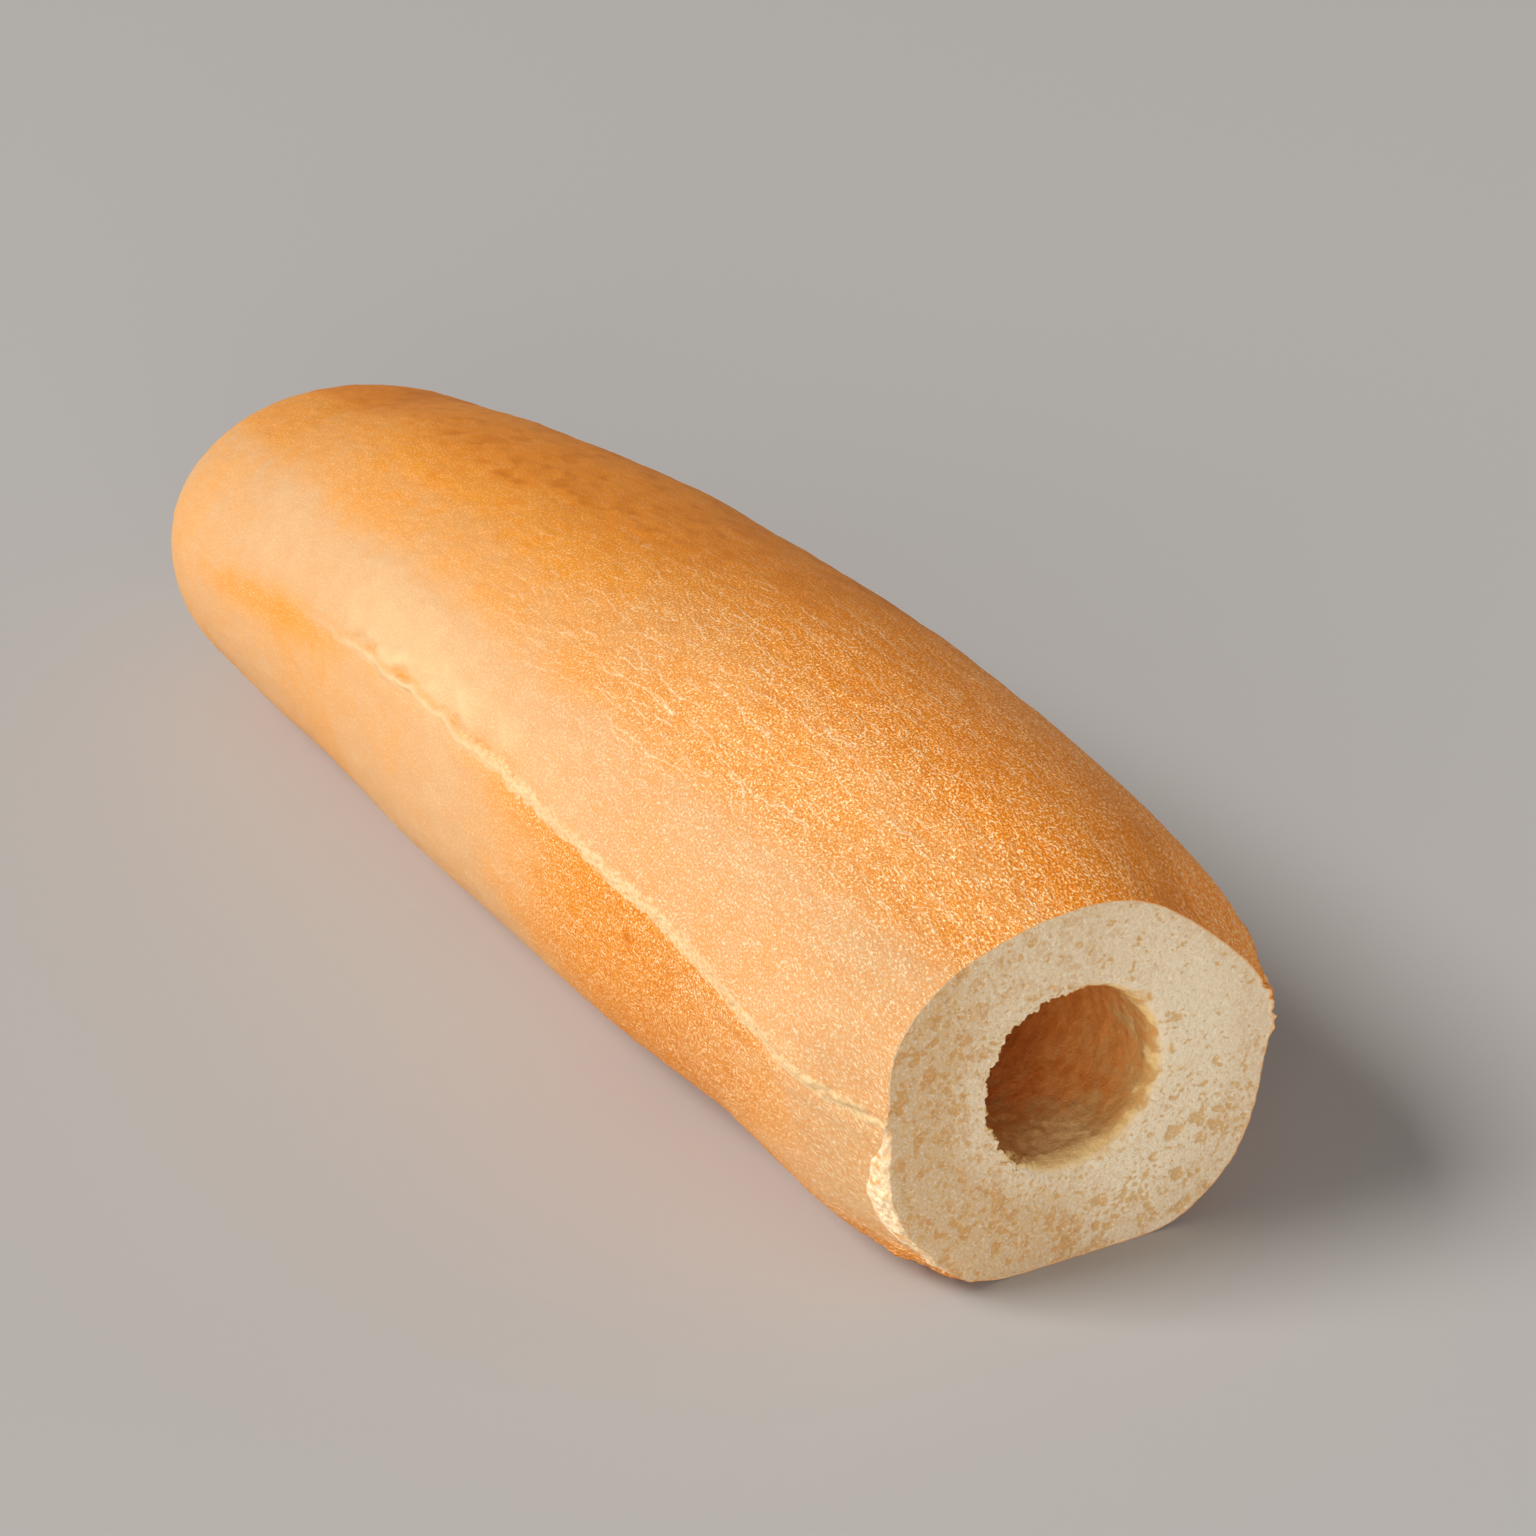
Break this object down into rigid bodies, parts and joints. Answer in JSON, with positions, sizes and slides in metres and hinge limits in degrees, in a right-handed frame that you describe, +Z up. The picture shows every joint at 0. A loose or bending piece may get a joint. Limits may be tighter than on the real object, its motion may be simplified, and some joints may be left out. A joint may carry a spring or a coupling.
{
  "type": "french hot dog bun",
  "caption": "Long soft baked roll with one rounded end and one cut end, where a blind round hole down the middle takes a sausage.",
  "frame": {"origin": "on the flat underside, under the middle of the bun's box", "axes": "+X along the bun towards the cut end with the hole, +Z up, Y across"},
  "size_m": [0.1752, 0.0526, 0.0462],
  "materials": {
    "crust": "thin soft bread crust, golden brown, matt with a faint sheen",
    "crumb": "cream bread crumb with small open pores, matt"
  },
  "bodies": {
    "root": {"bun": "crust"}
  },
  "joints": []
}
